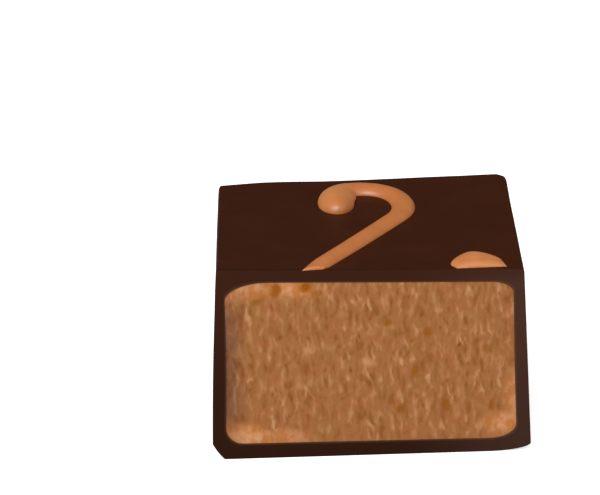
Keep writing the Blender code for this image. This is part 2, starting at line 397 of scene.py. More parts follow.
def scattered(tree, x, z, width, height, seed):
    """Spots scattered over the cut: how far a point is beside and above its nearest spot, in parts
    of the width and height given, and three chances that belong to the spot."""
    column = calc(tree, "DIVIDE", x, width)
    row = calc(tree, "ADD", calc(tree, "DIVIDE", z, height), seed)
    place = add(tree, "ShaderNodeCombineXYZ", {0: column, 1: row}).outputs[0]
    cells = add(tree, "ShaderNodeTexVoronoi", {"Vector": place, "Scale": 1.0, "Randomness": 0.8},
                voronoi_dimensions="2D").outputs
    away = add(tree, "ShaderNodeVectorMath", {0: place, 1: cells["Position"]},
               operation="SUBTRACT").outputs[0]
    beside, above, _ = add(tree, "ShaderNodeSeparateXYZ", {0: away}).outputs
    return beside, above, add(tree, "FunctionNodeSeparateColor", {0: cells["Color"]}).outputs


def from_spot(tree, value, centre, size):
    """How far a value is from a centre, in parts of a size."""
    return calc(tree, "DIVIDE", calc(tree, "SUBTRACT", value, centre), size)


def shaken(tree, value, reach, place, seed, **grain):
    """A value that noise moves to and fro, by up to half a reach."""
    amount = calc(tree, "SUBTRACT", noise(tree, place, seed, **grain), 0.5)
    return calc(tree, "MULTIPLY_ADD", amount, reach, value)


def near(tree, value, middle, reach):
    """1 where a value is at a middle, 0 from a reach away on."""
    away = calc(tree, "ABSOLUTE", calc(tree, "SUBTRACT", value, middle))
    return ramp(tree, away, reach, 0.15 * reach)


def torn_flake(tree, beside, above, lean, hollow):
    """A torn flake of paste, round 0, 0: how far a point is raised, and how far it is pulled out.
    The flake is narrow above and wide below, and the paste beside it is gone."""
    across = calc(tree, "MULTIPLY_ADD", above, lean, beside)
    half = calc(tree, "MULTIPLY_ADD", above, -0.30, 0.13)
    past_edge = calc(tree, "SUBTRACT", calc(tree, "ABSOLUTE", across), half)
    whole = ramp(tree, past_edge, 0.13, -0.12)
    legs = near(tree, past_edge, 0.0, 0.16)
    raised = product(tree, blend_of(tree, hollow, whole, legs), ramp(tree, above, 0.48, 0.25),
                     ramp(tree, above, -0.46, -0.28), ramp(tree, across, -0.25, 0.15, 0.55, 1.0))
    inside = product(tree, ramp(tree, past_edge, 0.0, -0.15), near(tree, above, -0.22, 0.24),
                     hollow)
    right = product(tree, near(tree, calc(tree, "SUBTRACT", across, half), 0.15, 0.14),
                    near(tree, above, 0.12, 0.30))
    left = product(tree, near(tree, calc(tree, "ADD", across, half), -0.14, 0.13),
                   near(tree, above, -0.15, 0.28), lean, 2.0)
    return raised, calc(tree, "MAXIMUM", calc(tree, "MAXIMUM", inside, right), left)


def blend_of(tree, share, first, second):
    """Two outputs, mixed by a share."""
    return add(tree, "ShaderNodeMix", {0: share, 2: first, 3: second}).outputs[0]


def drag_recipe():
    """What the knife did to the paste: shallow upright furrows, torn flakes and small pits."""
    tree, sizes = new_recipe(
        "knife_drag", "Furrow width", "Furrow length", "Flake width", "Flake length", "Depth",
        "Drift", "Crumble", "Seed",
    )
    place = add(tree, "GeometryNodeInputPosition").outputs[0]
    x, _, z = add(tree, "ShaderNodeSeparateXYZ", {0: place}).outputs

    # The streaks drift, and their edges crumble, more so at their ends than at their sides.
    seeds = [calc(tree, "ADD", sizes["Seed"], offset) for offset in (0.0, 5.0, 3.0, 9.0)]
    sideways = calc(tree, "MULTIPLY", sizes["Drift"], 0.5)
    at_ends = calc(tree, "MULTIPLY", sizes["Crumble"], 2.2)
    x = shaken(tree, x, sideways, place, seeds[0], scale=420.0)
    x = shaken(tree, x, sizes["Crumble"], place, seeds[1], scale=1700.0, detail=1.0)
    z = shaken(tree, z, sizes["Drift"], place, seeds[2], scale=520.0)
    z = shaken(tree, z, at_ends, place, seeds[3], scale=1500.0, detail=1.0)

    # Furrows, coarse and fine.
    furrows = []
    for share, offset in ((1.0, 0.0), (0.5, 7.0)):
        column = calc(tree, "DIVIDE", x, calc(tree, "MULTIPLY", sizes["Furrow width"], share))
        row = calc(tree, "DIVIDE", z, calc(tree, "MULTIPLY", sizes["Furrow length"], share))
        spot = add(tree, "ShaderNodeCombineXYZ", {0: column, 1: row}).outputs[0]
        furrows.append(noise(tree, spot, calc(tree, "ADD", sizes["Seed"], offset), detail=1.0))
    furrow = ramp(tree, blend_of(tree, 0.35, furrows[0], furrows[1]), 0.28, 0.72, -0.5, 0.5)

    # Scattered flakes, large and small. Most of them are faint.
    raised, pulled = 0.0, 0.0
    for share, weight, offset in ((1.0, 0.80, 0.0), (0.62, 0.68, 31.0)):
        width = calc(tree, "MULTIPLY", sizes["Flake width"], share)
        length = calc(tree, "MULTIPLY", sizes["Flake length"], share)
        seed = calc(tree, "ADD", sizes["Seed"], offset)
        beside, above, chances = scattered(tree, x, z, width, length, seed)
        strength = product(tree, ramp(tree, chances[0], 0.30, 0.95, 0.05, 1.0), weight)
        lean = calc(tree, "MULTIPLY", chances[1], 0.30)
        up, down = torn_flake(tree, beside, above, lean, ramp(tree, chances[2], 0.55, 0.85))
        raised = calc(tree, "MULTIPLY_ADD", up, strength, raised)
        pulled = calc(tree, "MULTIPLY_ADD", down, strength, pulled)

    # Big flakes in their own places: whole, then more and more hollow, four in turn.
    for index, (centre_x, centre_z, size, strength) in enumerate(BIG_FLAKES):
        width = calc(tree, "MULTIPLY", sizes["Flake width"], size)
        length = calc(tree, "MULTIPLY", sizes["Flake length"], size)
        beside = from_spot(tree, x, centre_x, width)
        above = from_spot(tree, z, centre_z, length)
        up, down = torn_flake(tree, beside, above, BIG_LEANS[index % 3], index % 4 / 3)
        raised = calc(tree, "MULTIPLY_ADD", up, BIG_RAISED * strength, raised)
        pulled = calc(tree, "MULTIPLY_ADD", down, BIG_PULLED * strength, pulled)

    # Small pits.
    beside, above, chances = scattered(tree, x, z, *PIT_SPACING, 57.0)
    pit = product(tree, near(tree, beside, 0.0, 0.16), near(tree, above, 0.0, 0.22),
                  ramp(tree, chances[0], 0.45, 0.9))
    pulled = calc(tree, "MULTIPLY_ADD", pit, 0.8, pulled)

    # The tear is 0.5 where the paste is level, more where it is raised and less where it is gone.
    change = calc(tree, "SUBTRACT", raised, calc(tree, "MULTIPLY", pulled, 0.8))
    level = calc(tree, "MULTIPLY_ADD", furrow, FURROW_PART, 0.5)
    tear = calc(tree, "MULTIPLY_ADD", change, FLAKE_PART, level)
    kept = add(
        tree,
        "GeometryNodeStoreNamedAttribute",
        {"Geometry": sizes["Geometry"], "Name": "tear", "Value": tear},
        data_type="FLOAT",
        domain="POINT",
    )
    lift = calc(tree, "SUBTRACT", named_value(tree, "tear"), 0.5)
    lift = product(tree, lift, sizes["Depth"], named_value(tree, "open_face"), -1.0)
    offset = add(tree, "ShaderNodeCombineXYZ", {1: lift}).outputs[0]
    moved = add(tree, "GeometryNodeSetPosition", {"Geometry": kept.outputs[0], "Offset": offset})
    finish_recipe(tree, moved.outputs[0], sizes["Material"])
    return tree


def new_finish(name):
    """A material: itself, its tree, its Principled shader and a point's place on the object."""
    material = bpy.data.materials.new(name)
    material.use_nodes = True
    tree = material.node_tree
    place = add(tree, "ShaderNodeTexCoord").outputs["Object"]
    return material, tree, tree.nodes["Principled BSDF"], place


def mix_colours(tree, share, first, second):
    """Two colours, mixed by a share."""
    inputs = {0: share, 6: first, 7: second}
    return add(tree, "ShaderNodeMix", inputs, data_type="RGBA").outputs[2]


def mottling_group():
    """A shader group that mottles two colours into each other in soft blotches."""
    tree = bpy.data.node_groups.new("mottling", "ShaderNodeTree")
    name_inputs(tree, "Vector", "Place")
    name_inputs(tree, "Float", "Scale", "Seed", "Start", "Stop")
    name_inputs(tree, "Color", "First", "Second")
    tree.interface.new_socket("Colour", in_out="OUTPUT", socket_type="NodeSocketColor")
    inputs = add(tree, "NodeGroupInput").outputs
    amount = noise(tree, inputs["Place"], inputs["Seed"], scale=inputs["Scale"])
    share = ramp(tree, amount, inputs["Start"], inputs["Stop"])
    add(tree, "NodeGroupOutput", {0: mix_colours(tree, share, inputs["First"], inputs["Second"])})
    return tree


mottling = mottling_group()


def mottled(tree, place, first, second, scale, seed, start=0.3, stop=0.7):
    """Two colours of one material, mottled into each other."""
    inputs = {"Place": place, "Scale": scale, "Seed": seed, "Start": start, "Stop": stop,
              "First": first, "Second": second}
    return add(tree, "ShaderNodeGroup", inputs, node_tree=mottling).outputs["Colour"]


def patch(tree, x, z, centre_x, centre_z, half_width, half_height, strength, soft):
    """A soft oval on the cut face: its strength inside it, 0 outside."""
    along = calc(tree, "POWER", from_spot(tree, x, centre_x, half_width), 2.0)
    tall = calc(tree, "POWER", from_spot(tree, z, centre_z, half_height), 2.0)
    reach = calc(tree, "SQRT", calc(tree, "ADD", along, tall))
    return ramp(tree, reach, 1.0, 1.0 - soft, 0.0, strength)


def nut_paste():
    """Nut paste: brown, finely streaked, with painted shade in its torn hollows and painted
    highlights on its raised flakes, oilier and more orange at three corners, greyer along the left
    wall."""
    material, tree, shader, place = new_finish("nut_paste")

    # Wobbled places make the patches and specks ragged.
    wobble = add(tree, "ShaderNodeTexNoise", {"Vector": place, "Scale": 700.0, "Detail": 2.0})
    wobble = add(tree, "ShaderNodeVectorMath", {0: wobble.outputs["Color"], 1: (0.5, 0.5, 0.5)},
                 operation="SUBTRACT").outputs[0]
    wobble = add(tree, "ShaderNodeVectorMath", {0: wobble, 1: (0.0009, 0.0, 0.0009), 2: place},
                 operation="MULTIPLY_ADD").outputs[0]
    x, _, z = add(tree, "ShaderNodeSeparateXYZ", {0: wobble}).outputs
    tear = add(tree, "ShaderNodeAttribute", attribute_name="tear").outputs["Fac"]

    # Darker where the paste is pulled out and paler where it is raised: painted shade in the pits
    # and beside the flakes, and a painted highlight on the raised flakes. The darker tone is also
    # more orange and the paler one pinker, as the paste's own colours.
    colour = mottled(tree, place, srgb(153, 95, 54), srgb(148, 98, 52), 700.0, 3.0)
    colour = mix_colours(tree, ramp(tree, tear, 0.52, 0.12), colour, srgb(129, 75, 28))
    colour = mix_colours(tree, ramp(tree, tear, 0.50, 0.98), colour, srgb(182, 130, 88))
    oily = mottled(tree, place, srgb(185, 113, 55), srgb(203, 146, 103), 1100.0, 6.0, 0.40, 0.62)
    for oval in OILY_PATCHES:
        colour = mix_colours(tree, patch(tree, x, z, *oval, soft=0.9), colour, oily)
    for oval in SKIN_SPECKS:
        redder = oval[-1] ** 4  # the strongest specks are the reddest
        skin = srgb(130 + 14 * redder, 79 - 4 * redder, 12 - 12 * redder)
        colour = mix_colours(tree, patch(tree, x, z, *oval, soft=0.7), colour, skin)
    greyer = product(tree, ramp(tree, x, -0.0092, -0.0115), ramp(tree, z, 0.0020, 0.0042),
                     ramp(tree, z, 0.0146, 0.0116), 0.57)
    colour = mix_colours(tree, greyer, colour, srgb(78, 48, 48))
    finish = {"Base Color": colour, "Roughness": 0.62, "Specular IOR Level": 0.10}
    connect(tree, shader, finish)
    return material


filling = make_from(
    drag_recipe(), filling_mesh(), "filling", furrow_width=0.0006, furrow_length=0.0014,
    flake_width=0.0015, flake_length=0.0021, depth=0.00015, drift=0.0007, crumble=0.0003,
    seed=4.0, material=nut_paste(),
)
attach(filling, "root")
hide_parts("filling")


# --- The chocolate shell -------------------------------------------------------------------------
# Dark chocolate, poured over the block and blown thin, then set on a belt. The foot is flat where
# it stood, the edges are rounded by the flow, and the surface is satin with faint waves. The knife
# leaves the rim round the filling nearly sharp.

# The rounded corners of its outline: how far along, and how far up. A flatness of 1 is a chamfer.
OUTER_CORNERS = {
    "low_right": (0.00350, 0.00068),
    "top_right": (0.00022, 0.00022),
    "top_left": (0.00022, 0.00022),
    "low_left": (0.00096, 0.00128),
}
OUTER_FLATNESS = {"low_left": 0.8}

# How far the edges are rounded: round the uncut end, at the hollow's end, and on the rim.
END_EDGES = {"low": 0.00080, "right": 0.00080, "top": 0.00022, "left": 0.00070}
HOLLOW_END_EDGE = 0.00090
RIM_OUTER_ROUND = 0.00006
RIM_INNER_ROUND = 0.00004

FADE_AT_FOOT = 0.0012  # the skin's waves fade out this close to the foot
FADE_AT_CUT = 0.0008  # and this close to the slice

ACROSS_STEPS = 90
UP_STEPS = 54
CORNER_STEPS = 14
SKIN_SPACING = 0.00024

SIDES = ("low", "right", "top", "left")
CORNERS = ("low_right", "top_right", "top_left", "low_left")


def section(corners, insets=(0.0, 0.0, 0.0, 0.0), flatness=None):
    """Points round the block's section, counter-clockwise from the foot's left end, in metres. A
    corner is an oval arc, and its flatness, from 0 to 1, turns it towards a straight chamfer."""
    flatness = flatness or {}
    low, right, top, left = insets
    box = {"low": low, "right": FOOT_LENGTH - right, "top": HEIGHT - top, "left": left}
    middles, radii = [], []
    for index, corner in enumerate(CORNERS):
        along, tall = corners[corner]
        smaller = min(insets[index], insets[(index + 1) % 4])
        along, tall = max(along - smaller, 2e-5), max(tall - smaller, 2e-5)
        upward, sideways = corner.split("_")
        middle_u = box[sideways] + (along if sideways == "left" else -along)
        middle_w = box[upward] + (tall if upward == "low" else -tall)
        middles.append((middle_u, middle_w))
        radii.append((along, tall))
    points = []
    middles, radii = np.array(middles), np.array(radii)
    for index in range(4):
        angle = math.pi / 2 * (index - 1)
        begin, finish = (middles[corner] + radii[corner] * (math.cos(angle), math.sin(angle))
                         for corner in (index - 1, index))
        steps = UP_STEPS if index % 2 else ACROSS_STEPS
        points.append(blend(begin, finish, np.arange(steps)[:, None] / steps))
        shares = np.arange(CORNER_STEPS)[:, None] / CORNER_STEPS
        angles = angle + math.pi / 2 * shares
        round_way = np.hstack([np.cos(angles), np.sin(angles)])
        straight_way = blend(round_way[:1], [[-math.sin(angle), math.cos(angle)]], shares)
        way = blend(round_way, straight_way, flatness.get(CORNERS[index], 0.0))
        points.append(middles[index] + radii[index] * way)
    return np.concatenate(points)


def per_point(values):
    """A value for each point of a section, from one value for each side."""
    shares = []
    for index in range(4):
        steps = UP_STEPS if index % 2 else ACROSS_STEPS
        shares.append(np.full(steps, values[index]))
        turn = eased(np.arange(CORNER_STEPS) / CORNER_STEPS)
        shares.append(blend(values[index], values[(index + 1) % 4], turn))
    return np.concatenate(shares)


def grid_over(section_points):
    """A grid that fills a section, with the numbers of its rim points round its edge."""
    half = CORNER_STEPS // 2
    columns, rows = ACROSS_STEPS + CORNER_STEPS, UP_STEPS + CORNER_STEPS
    count = len(section_points)
    first = -half % count
    numbers = [(first + step) % count for step in range(count)]
    low = numbers[: columns + 1]
    right = numbers[columns : columns + rows + 1]
    top = numbers[columns + rows : 2 * columns + rows + 1][::-1]
    left = [*numbers[2 * columns + rows :], numbers[0]][::-1]
    s = np.linspace(0, 1, columns + 1)[None, :, None]
    t = np.linspace(0, 1, rows + 1)[:, None, None]
    at = section_points
    ruled = (1 - t) * at[low][None] + t * at[top][None]
    ruled = ruled + (1 - s) * at[left][:, None] + s * at[right][:, None]
    corners = (1 - t) * ((1 - s) * at[low[0]] + s * at[low[-1]])
    corners = corners + t * ((1 - s) * at[top[0]] + s * at[top[-1]])
    grid = ruled - corners
    index = np.full((rows + 1, columns + 1), -1)
    index[0], index[-1], index[:, 0], index[:, -1] = low, top, left, right
    return grid, index


def edge_steps(count):
    """A rounded edge in steps, in parts of its radius: how far inwards, and how far short."""
    angles = math.pi / 2 * np.arange(count + 1) / count
    return list(zip(1 - np.cos(angles), 1 - np.sin(angles)))


def shell_mesh():
    """The shell as one skin: hollow end, hollow sides, rim, outside and uncut end. It carries how
    much each point has flowed into waves, and how much paste the knife smeared on it."""
    length = END_FOOT_Y - SLICE_Y
    hollow = (LEFT_WALL, RIGHT_WALL), FLOOR_THICKNESS, ROOF_THICKNESS
    solid = (NO_WALL, NO_WALL), 0.0, 0.0
    points, flows, smears, rings = [], [], [], []

    def ring_of(uw, y_of, walls, floor, roof):
        """A ring of points round the block, inside its walls."""
        across, up = uw[:, 0] / FOOT_LENGTH, uw[:, 1] / HEIGHT
        x = block_x(across, up, *walls)
        y = y_of(x, up)
        return np.stack([x, y, block_z(x, y, up, floor, roof)], 1)

    def keep_ring(ring, flowed, smear):
        """Adds a ring to the skin."""
        rings.append(list(range(len(points), len(points) + len(ring))))
        points.extend(ring)
        flows.extend(np.broadcast_to(flowed, len(ring)))
        smears.extend(np.broadcast_to(smear, len(ring)))

    def hollow_ring(inset, back):
        """Adds a ring round the hollow, where the filling touches the shell."""
        keep_ring(ring_of(section(FILLING_CORNERS, (inset,) * 4), back, *hollow), 0.0, 1.0)

    for inwards, short in edge_steps(4)[::-1]:
        hollow_ring(HOLLOW_END_EDGE * inwards,
                    lambda x, up: block_end(x, up, END_WALL) - HOLLOW_END_EDGE * short)
    for share in (0.3, 0.6, 0.85, 0.95, 0.99):
        hollow_ring(0.0, lambda x, up: blend(block_end(x, up, END_WALL) - HOLLOW_END_EDGE,
                                             slice_y(x, up) + RIM_INNER_ROUND, share))
    for inwards, short in edge_steps(3):
        hollow_ring(-RIM_INNER_ROUND * inwards,
                    lambda x, up: slice_y(x, up) + RIM_INNER_ROUND * short)
    rim_inner = np.array(points[rings[-1][0] :])
    rim_outer = []
    for inwards, short in edge_steps(3)[::-1]:
        uw = section(OUTER_CORNERS, (RIM_OUTER_ROUND * inwards,) * 4, OUTER_FLATNESS)
        rim_outer.append(
            ring_of(uw, lambda x, up: slice_y(x, up) + RIM_OUTER_ROUND * short, *solid)
        )
    for share in np.arange(1, 9) / 9:
        keep_ring(blend(rim_inner, rim_outer[0], share), 0.0, 1 - share)
    for ring in rim_outer:
        keep_ring(ring, 0.0, 0.0)
    edge_sizes = [END_EDGES[side] for side in SIDES]
    edges = per_point(edge_sizes)
    outline = section(OUTER_CORNERS, flatness=OUTER_FLATNESS)
    skin_rings = round(length / SKIN_SPACING)
    for share in np.arange(1, skin_rings + 1) / skin_rings:
        ring = ring_of(outline, lambda x, up: blend(slice_y(x, up) + RIM_OUTER_ROUND,
                                                    block_end(x, up) - edges, share), *solid)
        flowed = eased(share * length / FADE_AT_CUT) * eased(outline[:, 1] / FADE_AT_FOOT)
        keep_ring(ring, flowed, 0.0)
    for inwards, short in edge_steps(8)[1:]:
        uw = section(OUTER_CORNERS, [size * inwards for size in edge_sizes], OUTER_FLATNESS)
        ring = ring_of(uw, lambda x, up: block_end(x, up) - edges * short, *solid)
        keep_ring(ring, eased(uw[:, 1] / FADE_AT_FOOT), 0.0)
    faces = []
    for first, second in zip(rings, rings[1:]):
        faces += strips(first, second, closed=True)

    # The uncut end, and the end of the hollow.
    caps = (
        (uw, rings[-1], *solid, NO_WALL, 1.0, 0.0),
        (section(FILLING_CORNERS, (HOLLOW_END_EDGE,) * 4), rings[0], *hollow, END_WALL, 0.0, 1.0),
    )
    for uw, ring, walls, floor, roof, end_wall, flowed, smear in caps:
        grid, index = grid_over(uw)
        inside = index < 0
        up = grid[..., 1][inside] / HEIGHT
        x = block_x(grid[..., 0][inside] / FOOT_LENGTH, up, *walls)
        y = block_end(x, up, end_wall)
        numbers = np.where(inside, 0, index)
        numbers[~inside] = np.array(ring)[index[~inside]]
        numbers[inside] = len(points) + np.arange(inside.sum())
        points.extend(np.stack([x, y, block_z(x, y, up, floor, roof)], 1))
        flows.extend(np.full(inside.sum(), flowed))
        smears.extend(np.full(inside.sum(), smear))
        for row in range(len(numbers) - 1):
            faces += strips(numbers[row], numbers[row + 1], closed=False)
    faces = [tuple(int(i) for i in face) for face in faces]
    return closed_mesh(np.array(points), faces, "shell", flowed=flows, smear=smears)


def flow_recipe():
    """The faint waves of chocolate that flowed and set."""
    tree, sizes = new_recipe("flowed_chocolate", "Wave length", "Wave height", "Seed")
    place = add(tree, "GeometryNodeInputPosition").outputs[0]
    normal = add(tree, "GeometryNodeInputNormal").outputs[0]
    scale = calc(tree, "DIVIDE", 1.0, sizes["Wave length"])
    swell = noise(tree, place, sizes["Seed"], scale=scale, detail=1.0)
    height = product(tree, calc(tree, "SUBTRACT", swell, 0.5), sizes["Wave height"],
                     named_value(tree, "flowed"))
    offset = add(tree, "ShaderNodeVectorMath", {0: normal, "Scale": height}, operation="SCALE")
    moved = add(tree, "GeometryNodeSetPosition",
                {"Geometry": sizes["Geometry"], "Offset": offset.outputs[0]})
    finish_recipe(tree, moved.outputs[0], sizes["Material"])
    return tree


def dark_chocolate():
    """Tempered dark chocolate with a satin skin. Its cut rim carries painted shade, darkest low
    down on the left, and a painted sheen, paler and greyer on the right, which is toned back near
    the top edge."""
    material, tree, shader, place = new_finish("dark_chocolate")
    smear = add(tree, "ShaderNodeAttribute", attribute_name="smear").outputs["Fac"]
    colour = mottled(tree, place, srgb(60, 26, 10), srgb(63, 28, 11), 300.0, 2.0)
    x, y, z = add(tree, "ShaderNodeSeparateXYZ", {0: place}).outputs
    # Painted shade on the cut rim: darker low down, and darkest on the left through the mix below.
    pressed_and_painted_shade = mix_colours(tree, ramp(tree, z, 0.004, 0.0148), srgb(44, 19, 6), srgb(55, 25, 10))
    # Painted sheen on the cut rim: paler and greyer higher up and on the right, toned back near the
    # top edge.
    painted_sheen = mix_colours(tree, ramp(tree, z, 0.003, 0.012), srgb(59, 36, 25), srgb(66, 40, 29))
    painted_sheen = mix_colours(tree, ramp(tree, z, 0.0140, 0.0152, 0.0, 0.7), painted_sheen, srgb(59, 30, 20))
    rim = mix_colours(tree, ramp(tree, x, 0.0020, 0.0118), pressed_and_painted_shade, painted_sheen)
    at_cut = ramp(tree, y, SLICE_Y + 0.00050, SLICE_Y + 0.00030)
    colour = mix_colours(tree, at_cut, colour, rim)
    colour = mix_colours(tree, ramp(tree, smear, 0.86, 1.0, 0.0, 0.20), colour, srgb(120, 80, 62))
    rough = ramp(tree, noise(tree, place, 5.0, scale=900.0), 0.3, 0.7, 0.40, 0.50)
    finish = {"Base Color": colour, "Roughness": rough, "Specular IOR Level": 0.08}
    connect(tree, shader, finish)
    return material


shell = make_from(
    flow_recipe(), shell_mesh(), "shell", wave_length=0.0045, wave_height=0.00008, seed=11.0,
    material=dark_chocolate(),
)
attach(shell, "root")
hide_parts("shell")


# --- The piping ----------------------------------------------------------------------------------
# Two swirls of milk chocolate, piped on the set shell through a narrow nozzle. Each starts as a fat
# drop where the nozzle rested, and settles flat underneath. The knife cut both off at the slice.

RUN_PAST_SLICE = 0.0012  # a strand is made this much too long, and then cut off
SUNK = 0.00008  # piping is this deep in the shell, so that no gap shows

# How far apart the rings of a strand are, finely up to a little behind the slice and then coarsely,
# and how many there are in its round end.
FINE_SPACING = 0.00005
FINE_STRETCH = 0.0022
STATION_SPACING = 0.00014
END_STEPS = 12

# The hook, from the slice: a first bend, the straight tail, three arcs and the fat round start. A
# run is its length and its turn. Half widths and heights are at the slice and at each run's end.
HOOK_SLICE_X = -0.00441
HOOK_HEADING = math.radians(66.2)
HOOK_RUNS = (
    (0.00194, math.radians(-8.7)),
    (0.01104, 0.0),
    (0.00432, math.radians(57.3)),
    (0.00398, math.radians(68.5)),
    (0.00217, math.radians(71.3)),
    (0.00190, math.radians(20.7)),
    (0.00184, math.radians(20.7)),
)
HOOK_HALF_WIDTHS = (0.00078, 0.00084, 0.00093, 0.00098, 0.00106, 0.00153, 0.00145, 0.00104)
HOOK_HEIGHTS = (0.00026, 0.00042, 0.00046, 0.00058, 0.00070, 0.00090, 0.00098, 0.00090)
HOOK_ROUND_END = 0.00104

# How the knife left the hook's end: how far behind the slice, how much askew, over what length it
# is pressed down, and its rounded corner, with a centre in x, a radius and the cuts' degrees.
HOOK_RECESS = 0.00015
HOOK_CUT_SLOPE = 0.145
HOOK_CUT_ROUND = 0.00014
HOOK_CORNER = (-0.00386, 0.00050, (290, 311))

# The hump: short and wide, with its round end away from the slice. The same values as the hook's.
HUMP_SLICE_X = 0.00877
HUMP_HEADING = math.radians(115.0)
HUMP_RUNS = ((0.00060, 0.0), (0.00082, math.radians(-13.5)), (0.00194, 0.0))
HUMP_HALF_WIDTHS = (0.00192, 0.00203, 0.00205, 0.00150)
HUMP_HEIGHTS = (0.00038, 0.00042, 0.00046, 0.00050)
HUMP_ROUND_END = 0.00165
HUMP_RECESS = 0.00050
HUMP_CUT_SLOPE = 0.086
HUMP_CUT_ROUND = 0.00055
HUMP_CORNER = (0.00681, 0.00032, (215, 234, 253))


def point_along(start, heading, runs, distance):
    """The point at a distance along runs that start at a point in a heading."""
    x, y = start
    for length, turn in runs:
        part = min(distance, length)
        half_turn = turn * part / length / 2
        chord = part * (math.sin(half_turn) / half_turn if half_turn else 1.0)
        x += chord * math.cos(heading + half_turn)
        y += chord * math.sin(heading + half_turn)
        heading += 2 * half_turn
        distance -= part
    return x, y


def smooth_values(stations, values, distances):
    """Values along a smooth curve through each station's value, which never overshoots one."""
    gaps, slopes = np.diff(stations), np.diff(values) / np.diff(stations)
    before, after = slopes[:-1], slopes[1:]
    steady = before * after > 0
    total = np.where(steady, before + after, 1.0)
    tangents = np.concatenate([[0.0], np.where(steady, 2 * before * after / total, 0.0), [0.0]])
    at = np.clip(distances, stations[0], stations[-1])
    index = np.clip(np.searchsorted(stations, at, side="right") - 1, 0, len(gaps) - 1)
    gap, share = gaps[index], (at - np.array(stations)[index]) / gaps[index]
    start, finish = np.array(values)[index], np.array(values)[index + 1]
    bend = (1 - share) * tangents[index] - share * tangents[index + 1]
    return blend(start, finish, eased(share)) + gap * share * (1 - share) * bend


def guide_mesh(name, slice_x, heading, runs, half_widths, heights, round_end):
    """The path of a strand, from past the slice to its round end, with its size at each point."""
    start = (
        slice_x - RUN_PAST_SLICE * math.cos(heading),
        slice_y(slice_x) - RUN_PAST_SLICE * math.sin(heading),
    )
    lengths = [length for length, _ in runs]
    even = RUN_PAST_SLICE + sum(lengths) - round_end
    fine = np.arange(0.0, min(RUN_PAST_SLICE + FINE_STRETCH, even), FINE_SPACING)
    coarse = np.arange(fine[-1] + STATION_SPACING, even, STATION_SPACING)
    turns = np.radians(89) * np.arange(END_STEPS + 1) / END_STEPS
    distances = np.concatenate([fine, coarse, even + round_end * np.sin(turns)])
    share = np.concatenate([np.ones(len(fine) + len(coarse)), np.cos(turns)])
    stations = np.cumsum([0.0, *lengths])
    widths = smooth_values(stations, half_widths, distances - RUN_PAST_SLICE)
    tall = smooth_values(stations, heights, distances - RUN_PAST_SLICE) * share**0.9
    runs = ((RUN_PAST_SLICE, 0.0), *runs)
    points = [(*point_along(start, heading, runs, distance), 0.0) for distance in distances]
    mesh = bpy.data.meshes.new(name)
    mesh.from_pydata(points, [(i, i + 1) for i in range(len(points) - 1)], [])
    carry(mesh, plump=widths, half_width=widths * share, tall=tall)
    return mesh


def strand_recipe():
    """A strand along a path: a round section, settled flat onto the shell's top, and pushed down
    where the knife went through."""
    tree, sizes = new_recipe(
        "piped_strand", "Sunk", "Wobble", "Seed", "Cut y", "Cut slope", "Cut round",
        counts=("Sides",),
    )
    curve = add(tree, "GeometryNodeMeshToCurve", {0: sizes["Geometry"]}).outputs[0]
    width = named_value(tree, "half_width")
    sized = add(tree, "GeometryNodeSetCurveRadius", {0: curve, "Radius": width}).outputs[0]
    ring = add(tree, "GeometryNodeCurvePrimitiveCircle",
               {"Resolution": sizes["Sides"], "Radius": 1.0}, mode="RADIUS").outputs[0]
    tube = add(tree, "GeometryNodeCurveToMesh",
               {"Curve": sized, "Profile Curve": ring, "Scale": width, "Fill Caps": True})
    place = add(tree, "GeometryNodeInputPosition").outputs[0]
    x, y, high = add(tree, "ShaderNodeSeparateXYZ", {0: place}).outputs
    rise = calc(tree, "DIVIDE", high, calc(tree, "MAXIMUM", width, 1e-6))
    dome = calc(tree, "POWER", calc(tree, "MAXIMUM", rise, 0.0), 1.25)
    knife = calc(tree, "MULTIPLY_ADD", x, sizes["Cut slope"], sizes["Cut y"])
    behind = calc(tree, "DIVIDE", calc(tree, "SUBTRACT", y, knife), sizes["Cut round"])
    behind = calc(tree, "MINIMUM", calc(tree, "MAXIMUM", behind, 0.0), 1.0)
    ahead = calc(tree, "SUBTRACT", 1.0, behind)
    pressed_and_painted_shade = calc(tree, "SQRT", calc(tree, "SUBTRACT", 1.0, calc(tree, "MULTIPLY", ahead, ahead)))
    tall = shaken(tree, named_value(tree, "tall"), sizes["Wobble"], place, sizes["Seed"],
                  scale=700.0, detail=1.0)
    above = product(tree, dome, tall, pressed_and_painted_shade)
    below = calc(tree, "MULTIPLY", calc(tree, "MINIMUM", rise, 0.0), sizes["Sunk"])
    twist = product(tree, x, y, TOP_TWIST / (TOP_LENGTH / 2 * END_TOP_Y))
    z = calc(tree, "ADD", calc(tree, "ADD", above, below), calc(tree, "ADD", twist, HEIGHT))
    settled = add(tree, "ShaderNodeCombineXYZ", {0: x, 1: y, 2: z}).outputs[0]
    moved = add(tree, "GeometryNodeSetPosition",
                {"Geometry": tube.outputs[0], "Position": settled})
    merged = add(tree, "GeometryNodeMergeByDistance",
                 {"Geometry": moved.outputs[0], "Distance": 1e-7})
    finish_recipe(tree, merged.outputs[0], sizes["Material"])
    return tree


